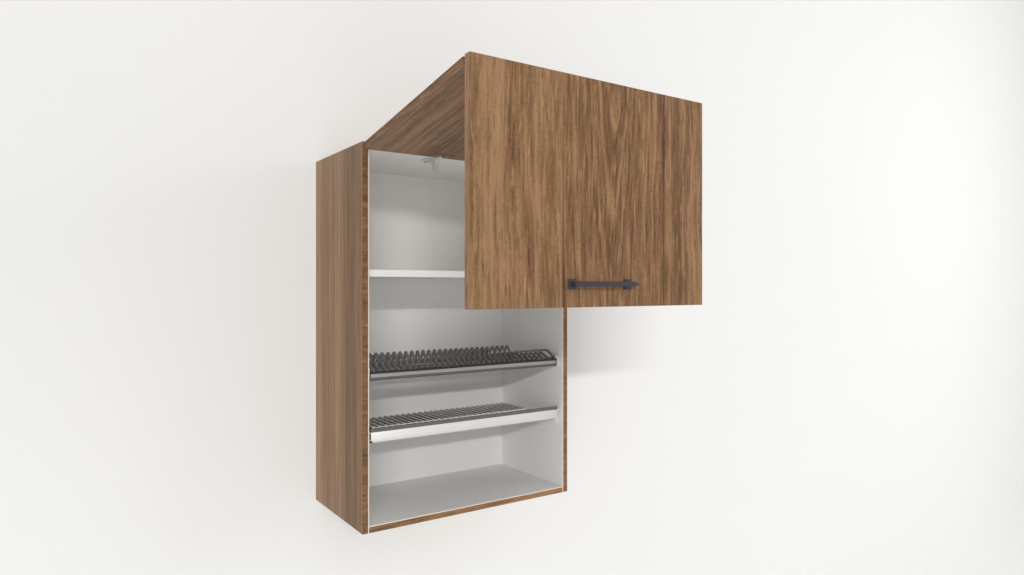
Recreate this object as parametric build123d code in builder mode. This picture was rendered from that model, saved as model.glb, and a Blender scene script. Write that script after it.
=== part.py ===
from build123d import *
import os
from math import asin, atan2, cos, dist, pi, radians, sin, tan

os.makedirs("parts", exist_ok=True)

# All lengths are in millimetres and all angles in degrees.
# X runs across the cabinet, Y out of the room into the wall, Z up.
# The origin lies on the wall plane, midway between the two wall fixing holes.
# The door is modelled wide open, its lower leaf hanging upright.

# Carcass: two sides with the top and the bottom between them
width = 600.0
height = 900.0
depth = 320.0
board = 16.0
band_thick = 1.0
liner_lip = 2.5
back_thick = 3.0
groove_depth = 6.0
groove_slack = 0.2
panel_slack = 0.5

# Fixing rail behind the back panel, and the wall fixing holes
rail_thick = 16.0
rail_height = 80.0
fixing_inset = 34.0
fixing_hole_radius = 4.0

# Corner joints: dowels, and bolts pulled up by round cams
cam_inset = 60.0
dowel_step = 32.0
dowel_radius = 4.0
dowel_in_side = 12.0
dowel_in_panel = 18.0
cam_radius = 7.5
cam_height = 12.5
cam_reach = 34.0
bolt_radius = 3.0
bolt_in_side = 11.0
bolt_past_centre = 2.0
fit_slack = 0.05
overrun = 5.0

# Adjustable shelf on four pins
shelf_above_bottom = 591.0
shelf_setback = 12.0
shelf_side_gap = 2.0
shelf_back_gap = 2.0
shelf_band = 1.0
pin_inset = 37.0
pin_radius = 2.5
pin_in_side = 8.0
pin_peg = 9.0
pin_flange_radius = 4.0
pin_flange = 1.5

# Folding door: two equal leaves
leaf_thick = 18.0
leaf_gap_top = 2.0
leaf_length = 446.0
leaf_side_gap = 1.0
fold_gap = 4.0
closed_gap = 4.0
leaf_ease = 1.0
open_angle = 99.5
closed_angle = 90.0

# Hinges: cup blocks let into the leaves, and the arms that carry their pins
hinge_spread = 216.0
top_pin_from_face = 5.0
top_pin_from_end = 5.0
fold_pin_from_end = 9.0
cup_width = 34.0
cup_end_wall = 0.8
cup_clearance = 0.2
cup_floor_gap = 0.3
wing_width = 11.0
wing_thick = 1.2
wing_start = 7.0
wing_length = 14.0
arm_width = 10.0
arm_side_gap = 0.5
slot_end_gap = 1.0
top_pin_radius = 1.25
top_eye_radius = 2.8
top_cup_length = 34.0
top_cup_depth = 16.0
top_slot_length = 23.0
fold_pin_radius = 1.5
fold_eye_radius = 3.5
fold_cup_length = 34.0
fold_cup_depth = 13.5
fold_slot_length = 26.0
pin_length = 30.0
pin_fit = 0.04
housing_length = 58.0
housing_height = 34.0
housing_nose = 8.0
housing_slope = 14.0
housing_tail_height = 6.0
housing_setback = 2.0
neck_height = 12.0
base_width = 34.0
base_length = 40.0
base_thick = 2.0
fold_base_from_end = 5.0
fold_arm_rise = 6.0
hinge_screw_radius = 1.75
hinge_screw_length = 11.0
hinge_screw_head_radius = 3.2
hinge_screw_head = 1.6

# Handle: a bar on two short legs with square rosettes
handle_length = 166.0
handle_above_edge = 45.0
bar_height = 10.0
bar_thick = 8.0
bar_tip_height = 5.0
bar_taper = 16.0
bar_standoff = 24.0
rosette = 20.0
rosette_thick = 3.0
handle_screw_radius = 2.0
handle_screw_grip = 9.0
handle_screw_head_radius = 4.0
handle_screw_head = 2.2
bumper_radius = 4.0
bumper_thick = 3.6
bumper_inset = 8.0
bumper_above_edge = 12.0

# Both racks: end brackets screwed to the sides, and rods that lie in their saddles
bracket_thick = 9.5
rod_radius = 2.0
wire_radius = 3.0
weld_gap = 0.05
saddle_gap = 0.3
wire_pitch = 16.0
first_wire_inset = 33.0
rod_in_bracket = 6.0
rack_front = 11.0
bracket_front = 19.0
bracket_back = 264.0
rear_rod_at = 250.0
rack_screw_radius = 2.0
rack_screw_length = 18.0
rack_screw_head_radius = 3.8
rack_screw_head = 2.2
rack_screw_inset = 30.0

# Plate rack: heights above the underside of the cabinet, depths behind its front
plate_rail_bottom = 348.0
plate_rail_height = 16.0
plate_rail_depth = 12.0
plate_rail_band = 6.0
plate_rail_step = 2.0
plate_rail_round = 4.0
plate_bracket_bottom = 345.0
plate_bracket_top = 361.0
plate_head_bottom = 349.0
plate_head_top = 377.0
plate_head_length = 17.0
plate_strip_height = 4.4
plate_strip_width = 8.0
plate_strip_setback = 1.5
plate_front_rod_at = 26.0
plate_rear_rod_up = 355.0
loop_foot_at = 15.5
loop_foot_up = 371.6
loop_knee_at = 31.0
loop_crown_at = 42.0
loop_crown_up = 392.0
loop_dip_at = 52.0
loop_dip_up = 377.0
loop_top_at = 76.0
loop_top_up = 411.0
loop_heel_at = 95.0
loop_bend = 5.5
hump_start_at = 150.0
hump_half = 18.0
hump_up = 397.0
wire_tail = 6.0
low_bend = 7.0
low_top_at = 50.0
low_top_up = 390.2
low_heel_at = 66.0
low_hump_half = 13.0
low_hump_up = 382.0
low_frame_width = 116.0
low_frame_end_inset = 33.0
low_frame_bend = 8.0

# Cup rack: heights above the underside of the cabinet, depths behind its front
fascia_bottom = 204.0
fascia_height = 24.0
fascia_thick = 3.0
fascia_round = 9.0
fascia_lip = 14.0
strip_thick = 6.0
strip_setback = 1.5
cup_bracket_bottom = 190.0
cup_bracket_top = 209.0
cup_head_bottom = 198.0
cup_head_top = 228.0
cup_head_length = 11.0
cup_head_notch = 4.0
cup_head_notch_deep = 3.0
cup_rod_radius = 1.5
cup_rod_at = 13.0
cup_rod_up = 239.2
cup_low_rod_at = 34.0
cup_low_rod_up = 206.0
cup_shelf_back = 130.0
cup_bend = 6.0
cup_drop_run = 8.0
cup_grid_end_inset = 130.0
ledge_width = 7.0
ledge_thick = 3.0
tray_front_at = 58.0
tray_back_at = 260.0
tray_height = 9.8
tray_wall = 1.5
tray_side_gap = 0.5
tray_corner = 12.0

# Places worked out from the sizes above
half_width = width / 2
inner_half = half_width - board
front = -depth
floor = -(height - board - rail_height / 2)
roof = floor + height
inner_floor = floor + board
inner_roof = roof - board
rail_bottom = inner_roof - rail_height
back_face = -(rail_thick + back_thick)
band_width = board - liner_lip
rack_half = inner_half - bracket_thick


def slab(x0, x1, y0, y1, z0, z1, mode=Mode.ADD):
    """Add or cut a square-cornered block between two opposite corners."""
    with Locations((x0, y0, z0)):
        Box(x1 - x0, y1 - y0, z1 - z0, align=Align.MIN, mode=mode)


def behind(distance):
    """Y of a place this far behind the cabinet's front plane."""
    return front + distance


def above(distance):
    """Z of a place this far above the cabinet's underside."""
    return floor + distance


def save(piece, name):
    """Name a finished piece and write it."""
    piece.part.label = name
    export_step(piece.part, f"parts/{name}.step")


def screws(planes, radius, length, head_radius, head):
    """Pan-head screws, their heads standing on the given planes."""
    with BuildPart() as screw:
        Cylinder(radius, length, align=(Align.CENTER, Align.CENTER, Align.MAX))
        Cylinder(head_radius, head, align=(Align.CENTER, Align.CENTER, Align.MIN))
        fillet(screw.edges().group_by(Axis.Z)[-1], head / 2)
    with BuildPart() as group:
        with Locations(*planes):
            add(screw.part)
    return group


# Corner joint places: the cams sit near the front and the back, the dowels further in
cam_places = (behind(cam_inset), -cam_inset)
dowel_places = (behind(cam_inset + dowel_step), -(cam_inset + dowel_step))
panel_levels = (inner_roof + board / 2, floor + board / 2)
shelf_bottom = above(shelf_above_bottom)
shelf_top = shelf_bottom + board
shelf_front = behind(shelf_setback)
shelf_back = back_face - shelf_back_gap
shelf_pin_places = [(y, shelf_bottom - pin_radius)
                    for y in (shelf_front + pin_inset, shelf_back - pin_inset)]
plate_screw_up = (plate_bracket_bottom + plate_bracket_top) / 2
cup_screw_up = (cup_bracket_bottom + cup_bracket_top) / 2
rack_screw_places = [(y, above(up))
                     for up in (plate_screw_up, cup_screw_up)
                     for y in (behind(bracket_front + rack_screw_inset + plate_head_length),
                               behind(bracket_back - rack_screw_inset))]

# Side panels, each with its front edge stepped back for the edge band
for side, side_name in ((-1, "left"), (1, "right")):
    with BuildPart() as side_panel:
        slab(min(side * inner_half, side * half_width), max(side * inner_half, side * half_width),
             front, 0, floor, roof)
        band_edges = sorted((side * (half_width - band_width), side * (half_width + overrun)))
        slab(*band_edges, front - overrun, front + band_thick,
             floor - overrun, roof + overrun, mode=Mode.SUBTRACT)
        groove_edges = sorted((side * (inner_half - overrun), side * (inner_half + groove_depth)))
        slab(*groove_edges, back_face - groove_slack, -rail_thick,
             inner_floor - groove_depth, inner_roof + groove_depth, mode=Mode.SUBTRACT)
        into = Vector(-side, 0, 0)
        with Locations(*[Plane((side * inner_half, y, z), z_dir=into)
                         for y in dowel_places for z in panel_levels]):
            Hole(dowel_radius + fit_slack, dowel_in_side + panel_slack)
        with Locations(*[Plane((side * inner_half, y, z), z_dir=into)
                         for y in cam_places for z in panel_levels]):
            Hole(bolt_radius + fit_slack, bolt_in_side + panel_slack)
        with Locations(*[Plane((side * inner_half, y, z), z_dir=into)
                         for y, z in shelf_pin_places]):
            Hole(pin_radius + fit_slack, pin_in_side + panel_slack)
        with Locations(*[Plane((side * inner_half, y, z), z_dir=into)
                         for y, z in rack_screw_places]):
            Hole(rack_screw_radius + fit_slack, rack_screw_length - bracket_thick + panel_slack)
    save(side_panel, f"{side_name}_side_panel")

    with BuildPart() as side_band:
        band_edges = sorted((side * (half_width - band_width), side * half_width))
        slab(*band_edges, front, front + band_thick, floor, roof)
    save(side_band, f"{side_name}_edge_band")

# Top and bottom panels between the sides, with end bores, cam pockets and the back groove
hinge_places = (-hinge_spread / 2, hinge_spread / 2)
housing_front = behind(housing_setback)
base_front = housing_front + housing_length - base_length - base_thick
top_screw_places = [(x + sign * (base_width / 2 + arm_width / 2) / 2, y)
                    for x in hinge_places for sign in (-1, 1)
                    for y in (base_front + base_length / 4, base_front + base_length * 3 / 4)]
for out, level_name in ((1, "top"), (-1, "bottom")):
    outer = roof if out > 0 else floor
    inner = outer - out * board
    with BuildPart() as level_panel:
        slab(-inner_half, inner_half, front, 0, min(outer, inner), max(outer, inner))
        band_levels = sorted((outer + out * overrun, outer - out * band_width))
        slab(-width, width, front - overrun, front + band_thick, *band_levels, mode=Mode.SUBTRACT)
        groove_levels = sorted((inner - out * overrun, inner + out * groove_depth))
        slab(-width, width, back_face - groove_slack, -rail_thick, *groove_levels,
             mode=Mode.SUBTRACT)
        middle = outer - out * board / 2
        for side in (-1, 1):
            with Locations(*[Plane((side * inner_half, y, middle), z_dir=(side, 0, 0))
                             for y in dowel_places]):
                Hole(dowel_radius + fit_slack, dowel_in_panel + panel_slack)
            with Locations(*[Plane((side * inner_half, y, middle), z_dir=(side, 0, 0))
                             for y in cam_places]):
                Hole(bolt_radius + fit_slack, cam_reach)
            with Locations(*[Plane((side * (inner_half - cam_reach), y, outer), z_dir=(0, 0, out))
                             for y in cam_places]):
                Hole(cam_radius + fit_slack, cam_height + panel_slack)
        if out > 0:
            with Locations(*[Plane((x, y, inner_roof), z_dir=(0, 0, -1))
                             for x, y in top_screw_places]):
                Hole(hinge_screw_radius + fit_slack, hinge_screw_length - base_thick + panel_slack)
    save(level_panel, f"{level_name}_panel")

    with BuildPart() as level_band:
        slab(-inner_half, inner_half, front, front + band_thick,
             *sorted((outer, outer - out * band_width)))
    save(level_band, f"{level_name}_edge_band")

# Dowels, cam bolts and cams of the four corner joints
with BuildPart() as dowels:
    with Locations(*[(side * (inner_half + (dowel_in_side - dowel_in_panel) / 2), y, z)
                     for side in (-1, 1) for y in dowel_places for z in panel_levels]):
        Cylinder(dowel_radius, dowel_in_side + dowel_in_panel, rotation=(0, 90, 0))
save(dowels, "corner_dowels")

bolt_length = bolt_in_side + cam_reach - bolt_past_centre
with BuildPart() as cam_bolts:
    with Locations(*[(side * (inner_half + bolt_in_side - bolt_length / 2), y, z)
                     for side in (-1, 1) for y in cam_places for z in panel_levels]):
        Cylinder(bolt_radius, bolt_length, rotation=(0, 90, 0))
save(cam_bolts, "cam_bolts")

with BuildPart() as cam_locks:
    for outer, out in ((roof, 1), (floor, -1)):
        with Locations(*[Plane((side * (inner_half - cam_reach), y, outer), z_dir=(0, 0, out))
                         for side in (-1, 1) for y in cam_places]):
            Cylinder(cam_radius, cam_height, align=(Align.CENTER, Align.CENTER, Align.MAX))
            Box(cam_radius, bolt_radius / 2, bolt_radius / 2, mode=Mode.SUBTRACT)
        cam_slot_levels = sorted((outer - out * (board / 2 - bolt_radius - fit_slack),
                                  outer - out * (cam_height + overrun)))
        for side in (-1, 1):
            for y in cam_places:
                slot_ends = sorted((side * (inner_half - cam_reach + bolt_past_centre - fit_slack),
                                    side * (inner_half - cam_reach + cam_radius + overrun)))
                slab(*slot_ends, y - bolt_radius - fit_slack, y + bolt_radius + fit_slack,
                     *cam_slot_levels, mode=Mode.SUBTRACT)
save(cam_locks, "cam_locks")

# Back panel in its grooves, and the fixing rail behind it
fixing_places = [(sign * (inner_half - fixing_inset), 0) for sign in (-1, 1)]
with BuildPart() as back_panel:
    spread = inner_half + groove_depth - panel_slack
    slab(-spread, spread, back_face, -rail_thick,
         inner_floor - groove_depth + panel_slack, inner_roof + groove_depth - panel_slack)
    with Locations(*[Plane((x, back_face, z), z_dir=(0, -1, 0)) for x, z in fixing_places]):
        Hole(fixing_hole_radius, back_thick)
save(back_panel, "back_panel")

with BuildPart() as fixing_rail:
    slab(-inner_half, inner_half, -rail_thick, 0, rail_bottom, inner_roof)
    with Locations(*[Plane((x, -rail_thick, z), z_dir=(0, -1, 0)) for x, z in fixing_places]):
        Hole(fixing_hole_radius, rail_thick)
save(fixing_rail, "fixing_rail")

# Adjustable shelf, its front band and its four pins
shelf_half = inner_half - shelf_side_gap
with BuildPart() as shelf:
    slab(-shelf_half, shelf_half, shelf_front + shelf_band, shelf_back, shelf_bottom, shelf_top)
save(shelf, "adjustable_shelf")

with BuildPart() as shelf_front_band:
    slab(-shelf_half, shelf_half, shelf_front, shelf_front + shelf_band, shelf_bottom, shelf_top)
save(shelf_front_band, "shelf_edge_band")

with BuildPart() as shelf_pins:
    for side in (-1, 1):
        with Locations(*[Plane((side * inner_half, y, z), z_dir=(-side, 0, 0))
                         for y, z in shelf_pin_places]):
            Cylinder(pin_radius, pin_in_side, align=(Align.CENTER, Align.CENTER, Align.MAX))
            Cylinder(pin_flange_radius, pin_flange, align=(Align.CENTER, Align.CENTER, Align.MIN))
            Cylinder(pin_radius, pin_peg, align=(Align.CENTER, Align.CENTER, Align.MIN))
save(shelf_pins, "shelf_pins")

# Door planes: local X across, local Y down the leaf from its pin, local Z towards its inner face
tilt_out = radians(open_angle - closed_angle)
top_pin_y = front - closed_gap - leaf_thick + top_pin_from_face
top_pin_z = roof - leaf_gap_top - top_pin_from_end
top_plane = Plane((0, top_pin_y, top_pin_z), x_dir=(1, 0, 0),
                  z_dir=(0, -sin(tilt_out), -cos(tilt_out)))
fold_along = leaf_length - top_pin_from_end + fold_gap + fold_pin_from_end
fold_in = leaf_thick / 2 - top_pin_from_face
fold_point = top_plane.from_local_coords(Vector(0, fold_along, fold_in))
fold_plane = Plane(fold_point, x_dir=(1, 0, 0), z_dir=(0, 1, 0))
leaf_half = half_width - leaf_side_gap
upper_inner = leaf_thick - top_pin_from_face
upper_end = leaf_length - top_pin_from_end
lower_inner = leaf_thick / 2
lower_end = leaf_length - fold_pin_from_end


def cup_block(plane, x, inner, from_end, length, block_depth, slot_length, pin_radius_here):
    """Hinge cup let into a leaf: a block with two wings, a slot for the arm and a pin bore."""
    half = cup_width / 2
    start = cup_end_wall - from_end
    with BuildPart(plane) as cup:
        slab(x - half, x + half, start, length - from_end, inner - block_depth, inner)
        slab(x - half - wing_width, x + half + wing_width, wing_start, wing_start + wing_length,
             inner, inner + wing_thick)
        slot_half = arm_width / 2 + arm_side_gap
        slab(x - slot_half, x + slot_half, start - overrun, slot_length - from_end,
             inner - block_depth - overrun, inner + wing_thick + overrun, mode=Mode.SUBTRACT)
        with Locations((x, 0, 0)):
            Cylinder(pin_radius_here, pin_length, rotation=(0, 90, 0), mode=Mode.SUBTRACT)
        with Locations(*[(x + sign * (half + wing_width / 2), wing_start + wing_length / 2,
                          inner + wing_thick) for sign in (-1, 1)]):
            Cylinder(hinge_screw_radius + fit_slack, wing_thick * 3, mode=Mode.SUBTRACT)
    return cup


def cup_pocket(x, inner, from_end, length, block_depth):
    """Cut the pocket of a hinge cup, and its screw holes, into the leaf being built."""
    half = cup_width / 2 + cup_clearance
    slab(x - half, x + half, -from_end - overrun, length - from_end + cup_clearance,
         inner - block_depth - cup_floor_gap, inner + overrun, mode=Mode.SUBTRACT)
    with Locations(*[(x + sign * (cup_width + wing_width) / 2, wing_start + wing_length / 2, inner)
                     for sign in (-1, 1)]):
        Cylinder(hinge_screw_radius + fit_slack, 2 * (hinge_screw_length - wing_thick + panel_slack),
                 mode=Mode.SUBTRACT)


def cup_screw_planes(plane, inner):
    """Where the wing screws' heads stand, for both hinges of a leaf."""
    return [Plane(plane.from_local_coords(
                Vector(x + sign * (cup_width + wing_width) / 2, wing_start + wing_length / 2,
                       inner + wing_thick)), z_dir=plane.z_dir)
            for x in hinge_places for sign in (-1, 1)]


# Upper leaf, its hinge cups, their pins and their screws
fold_base_end = upper_end - fold_base_from_end
fold_base_start = fold_base_end - base_length
fold_screw_spots = [(x + sign * (base_width / 2 + arm_width / 2) / 2, v)
                    for x in hinge_places for sign in (-1, 1)
                    for v in (fold_base_start + base_length / 4,
                              fold_base_start + base_length * 3 / 4)]
with BuildPart(top_plane) as upper_leaf:
    slab(-leaf_half, leaf_half, -top_pin_from_end, upper_end, -top_pin_from_face, upper_inner)
    fillet(upper_leaf.edges().filter_by(Axis.X), leaf_ease)
    for x in hinge_places:
        cup_pocket(x, upper_inner, top_pin_from_end, top_cup_length, top_cup_depth)
    with Locations(*[(x, v, upper_inner) for x, v in fold_screw_spots]):
        Cylinder(hinge_screw_radius + fit_slack,
                 2 * (hinge_screw_length - base_thick + panel_slack), mode=Mode.SUBTRACT)
save(upper_leaf, "upper_leaf")

for x, side_name in zip(hinge_places, ("left", "right")):
    top_cup = cup_block(top_plane, x, upper_inner, top_pin_from_end, top_cup_length,
                        top_cup_depth, top_slot_length, top_pin_radius)
    save(top_cup, f"top_hinge_cup_{side_name}")

with BuildPart(top_plane) as top_pins:
    with Locations(*[(x, 0, 0) for x in hinge_places]):
        Cylinder(top_pin_radius, pin_length, rotation=(0, 90, 0))
save(top_pins, "top_hinge_pins")

top_cup_screws = screws(cup_screw_planes(top_plane, upper_inner), hinge_screw_radius,
                        hinge_screw_length, hinge_screw_head_radius, hinge_screw_head)
save(top_cup_screws, "top_cup_screws")

# Top hinge brackets: a spring housing under the top panel with a neck out to the pin
housing_back = housing_front + housing_length
for x, side_name in zip(hinge_places, ("left", "right")):
    with BuildPart() as bracket:
        with BuildSketch(Plane.YZ.offset(x - arm_width / 2)):
            with BuildLine():
                Polyline((housing_front, inner_roof), (housing_front, inner_roof - housing_height),
                         (housing_front + housing_nose, inner_roof - housing_height),
                         (housing_front + housing_nose + housing_slope,
                          inner_roof - housing_tail_height),
                         (housing_back, inner_roof - housing_tail_height),
                         (housing_back, inner_roof), close=True)
            make_face()
            with BuildLine():
                Polyline((housing_front, inner_roof - base_thick),
                         (housing_front, inner_roof - base_thick - neck_height),
                         (top_pin_y, top_pin_z - top_eye_radius),
                         (top_pin_y - top_eye_radius * sin(radians(45)),
                          top_pin_z + top_eye_radius * cos(radians(45))),
                         (top_pin_y, top_pin_z + top_eye_radius), close=True)
            make_face()
            with Locations((top_pin_y, top_pin_z)):
                Circle(top_eye_radius)
                Circle(top_pin_radius + pin_fit, mode=Mode.SUBTRACT)
        extrude(amount=arm_width)
        slab(x - base_width / 2, x + base_width / 2, base_front, base_front + base_length,
             inner_roof - base_thick, inner_roof)
        with Locations(*[(sx, sy, inner_roof) for sx, sy in top_screw_places
                         if abs(sx - x) < base_width]):
            Cylinder(hinge_screw_radius + fit_slack, base_thick * 3, mode=Mode.SUBTRACT)
    save(bracket, f"top_hinge_bracket_{side_name}")

top_bracket_screws = screws([Plane((x, y, inner_roof - base_thick), z_dir=(0, 0, -1))
                             for x, y in top_screw_places], hinge_screw_radius,
                            hinge_screw_length, hinge_screw_head_radius, hinge_screw_head)
save(top_bracket_screws, "top_bracket_screws")

# Fold hinge arms on the upper leaf, reaching over its end to the fold pins
for x, side_name in zip(hinge_places, ("left", "right")):
    with BuildPart(top_plane) as fold_arm:
        slab(x - base_width / 2, x + base_width / 2, fold_base_start, fold_base_end,
             upper_inner, upper_inner + base_thick)
        arm_plane = Plane(top_plane.from_local_coords(Vector(x - arm_width / 2, 0, 0)),
                          x_dir=top_plane.y_dir, z_dir=top_plane.x_dir)
        with BuildSketch(arm_plane):
            with BuildLine():
                Polyline((fold_base_start, upper_inner),
                         (fold_base_start, upper_inner + base_thick),
                         (fold_base_end - base_length / 2, upper_inner + base_thick + fold_arm_rise),
                         (fold_base_end, upper_inner + base_thick + fold_arm_rise),
                         (fold_along + fold_eye_radius * sin(radians(45)),
                          fold_in + fold_eye_radius * cos(radians(45))),
                         (fold_along - fold_eye_radius * sin(radians(45)),
                          fold_in - fold_eye_radius * cos(radians(45))),
                         (upper_end + fit_slack, upper_inner - leaf_ease),
                         (upper_end + fit_slack, upper_inner), close=True)
            make_face()
            with Locations((fold_along, fold_in)):
                Circle(fold_eye_radius)
                Circle(fold_pin_radius + pin_fit, mode=Mode.SUBTRACT)
        extrude(amount=arm_width)
        with Locations(*[(sx, v, upper_inner) for sx, v in fold_screw_spots
                         if abs(sx - x) < base_width]):
            Cylinder(hinge_screw_radius + fit_slack, base_thick * 3, mode=Mode.SUBTRACT)
    save(fold_arm, f"fold_hinge_arm_{side_name}")

fold_arm_screws = screws([Plane(top_plane.from_local_coords(
                              Vector(x, v, upper_inner + base_thick)), z_dir=top_plane.z_dir)
                          for x, v in fold_screw_spots], hinge_screw_radius,
                         hinge_screw_length, hinge_screw_head_radius, hinge_screw_head)
save(fold_arm_screws, "fold_arm_screws")

# Lower leaf, its hinge cups, their pins and their screws
handle_middle = lower_end - handle_above_edge
rosette_at = (handle_length - rosette) / 2
with BuildPart(fold_plane) as lower_leaf:
    slab(-leaf_half, leaf_half, -fold_pin_from_end, lower_end, -leaf_thick / 2, lower_inner)
    fillet(lower_leaf.edges().filter_by(Axis.X), leaf_ease)
    for x in hinge_places:
        cup_pocket(x, lower_inner, fold_pin_from_end, fold_cup_length, fold_cup_depth)
    with Locations((-rosette_at, handle_middle, 0), (rosette_at, handle_middle, 0)):
        Cylinder(handle_screw_radius + fit_slack, 2 * leaf_thick, mode=Mode.SUBTRACT)
save(lower_leaf, "lower_leaf")

for x, side_name in zip(hinge_places, ("left", "right")):
    fold_cup = cup_block(fold_plane, x, lower_inner, fold_pin_from_end, fold_cup_length,
                         fold_cup_depth, fold_slot_length, fold_pin_radius)
    save(fold_cup, f"fold_hinge_cup_{side_name}")

with BuildPart(fold_plane) as fold_pins:
    with Locations(*[(x, 0, 0) for x in hinge_places]):
        Cylinder(fold_pin_radius, pin_length, rotation=(0, 90, 0))
save(fold_pins, "fold_hinge_pins")

fold_cup_screws = screws(cup_screw_planes(fold_plane, lower_inner), hinge_screw_radius,
                         hinge_screw_length, hinge_screw_head_radius, hinge_screw_head)
save(fold_cup_screws, "fold_cup_screws")

# Handle on the lower leaf, with screws through the leaf, and the door's bumpers
leg_end = -leaf_thick / 2 - bar_standoff + bar_thick
for sign, side_name in ((-1, "left"), (1, "right")):
    with BuildPart(fold_plane) as handle_leg:
        x = sign * rosette_at
        slab(x - rosette / 2, x + rosette / 2, handle_middle - rosette / 2,
             handle_middle + rosette / 2, -leaf_thick / 2 - rosette_thick, -leaf_thick / 2)
        slab(x - bar_height / 2, x + bar_height / 2, handle_middle - bar_height / 2,
             handle_middle + bar_height / 2, leg_end, -leaf_thick / 2)
        with Locations((x, handle_middle, -leaf_thick / 2)):
            Cylinder(handle_screw_radius + fit_slack, 2 * (handle_screw_grip + panel_slack),
                     mode=Mode.SUBTRACT)
    save(handle_leg, f"handle_leg_{side_name}")

with BuildPart(fold_plane) as handle_bar:
    taper_at = handle_length / 2 - bar_taper
    with BuildSketch(fold_plane.offset(leg_end)):
        with BuildLine():
            Polyline((-handle_length / 2, handle_middle - bar_tip_height / 2),
                     (-taper_at, handle_middle - bar_height / 2),
                     (taper_at, handle_middle - bar_height / 2),
                     (handle_length / 2, handle_middle - bar_tip_height / 2),
                     (handle_length / 2, handle_middle + bar_tip_height / 2),
                     (taper_at, handle_middle + bar_height / 2),
                     (-taper_at, handle_middle + bar_height / 2),
                     (-handle_length / 2, handle_middle + bar_tip_height / 2), close=True)
        make_face()
    extrude(amount=-bar_thick)
    outer_edges = handle_bar.edges().group_by(Axis.Y)[0]
    chamfer(outer_edges, leaf_ease)
save(handle_bar, "handle_bar")

handle_screws = screws([Plane(fold_plane.from_local_coords(Vector(x, handle_middle, lower_inner)),
                              z_dir=fold_plane.z_dir) for x in (-rosette_at, rosette_at)],
                       handle_screw_radius, leaf_thick + handle_screw_grip,
                       handle_screw_head_radius, handle_screw_head)
save(handle_screws, "handle_screws")

with BuildPart(fold_plane) as bumpers:
    with Locations(*[(sign * (half_width - bumper_inset), lower_end - bumper_above_edge, lower_inner)
                     for sign in (-1, 1)]):
        Cylinder(bumper_radius, bumper_thick, align=(Align.CENTER, Align.CENTER, Align.MIN))
save(bumpers, "door_bumpers")


def bent_wire(points, bend):
    """One wire bent in a plane that runs front to back, its centre line through the points."""
    with BuildPart() as wire:
        with BuildLine(Plane.YZ) as route:
            FilletPolyline(*points, radius=bend)
        with BuildSketch(Plane(route.line @ 0, z_dir=route.line % 0)):
            Circle(wire_radius)
        sweep()
    return wire.part


def crown_corner(start, centre, end, radius):
    """Corner of two straight runs that both touch a circle: up to it from start, down to end."""
    rise = atan2(centre[1] - start[1], centre[0] - start[0]) + asin(radius / dist(start, centre))
    fall = atan2(centre[1] - end[1], end[0] - centre[0]) + asin(radius / dist(end, centre))
    lean = (rise - fall + pi) / 2
    reach = radius / cos((rise + fall) / 2)
    return (centre[0] + reach * cos(lean), centre[1] + reach * sin(lean))


def end_bracket(outline, saddles, screw_places, side):
    """Rack end bracket: a plate against the side panel with open saddles for the rods."""
    x0 = rack_half if side > 0 else -inner_half
    with BuildPart() as bracket:
        with BuildSketch(Plane.YZ.offset(x0)):
            with BuildLine():
                Polyline(*[(behind(at), above(up)) for at, up in outline], close=True)
            make_face()
            for at, up, radius in saddles:
                reach = radius + saddle_gap
                with Locations((behind(at), above(up))):
                    Circle(reach, mode=Mode.SUBTRACT)
                    Rectangle(2 * reach, height, align=(Align.CENTER, Align.MIN),
                              mode=Mode.SUBTRACT)
        extrude(amount=bracket_thick)
        head_seat = rack_screw_head + saddle_gap
        with Locations(*[Plane((side * rack_half, y, z), z_dir=(-side, 0, 0))
                         for y, z in screw_places]):
            CounterBoreHole(rack_screw_radius + fit_slack, rack_screw_head_radius + fit_slack,
                            head_seat, bracket_thick)
    return bracket


# Where the wires leave the plate rail, and the front rod that they are welded on
wire_rest = rod_radius + wire_radius + weld_gap
plate_floor = above(plate_rear_rod_up + wire_rest)
loop_foot = (behind(loop_foot_at), above(loop_foot_up))
low_heel = (behind(low_heel_at), plate_floor)
low_crown = (behind(low_top_at), above(low_top_up) - 2 * wire_radius - weld_gap - low_bend)
low_corner = crown_corner(loop_foot, low_crown, low_heel, low_bend)
foot_rise = atan2(low_corner[1] - loop_foot[1], low_corner[0] - loop_foot[0])
loop_knee_up = loop_foot_up + (loop_knee_at - loop_foot_at) * tan(foot_rise)
plate_front_rod_up = (loop_foot_up + (plate_front_rod_at - loop_foot_at) * tan(foot_rise)
                      - wire_rest / cos(foot_rise))

# Rack end brackets, left and right
plate_outline = ((bracket_front, plate_head_bottom), (bracket_front, plate_head_top),
                 (bracket_front + plate_head_length, plate_head_top),
                 (bracket_front + plate_head_length, plate_bracket_top),
                 (bracket_back, plate_bracket_top), (bracket_back, plate_bracket_bottom),
                 (bracket_front + plate_head_length, plate_bracket_bottom))
plate_saddles = ((plate_front_rod_at, plate_front_rod_up, rod_radius),
                 (rear_rod_at, plate_rear_rod_up, rod_radius))
notch_levels = [cup_head_bottom + cup_head_notch * i for i in range(1, 7)]
notch_edge = [(bracket_front + cup_head_notch_deep * (step % 2), level)
              for i, level in enumerate(notch_levels) for step in (i, i + 1)]
cup_outline = ((bracket_front, cup_head_bottom), *notch_edge, (bracket_front, cup_head_top),
               (bracket_front + cup_head_length, cup_head_top),
               (bracket_front + cup_head_length, cup_bracket_top),
               (bracket_back, cup_bracket_top), (bracket_back, cup_bracket_bottom),
               (bracket_front + cup_head_length, cup_bracket_bottom))
cup_saddles = ((cup_low_rod_at, cup_low_rod_up, rod_radius),
               (rear_rod_at, cup_low_rod_up, rod_radius))
tray_bottom = cup_bracket_bottom + ledge_thick
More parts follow.
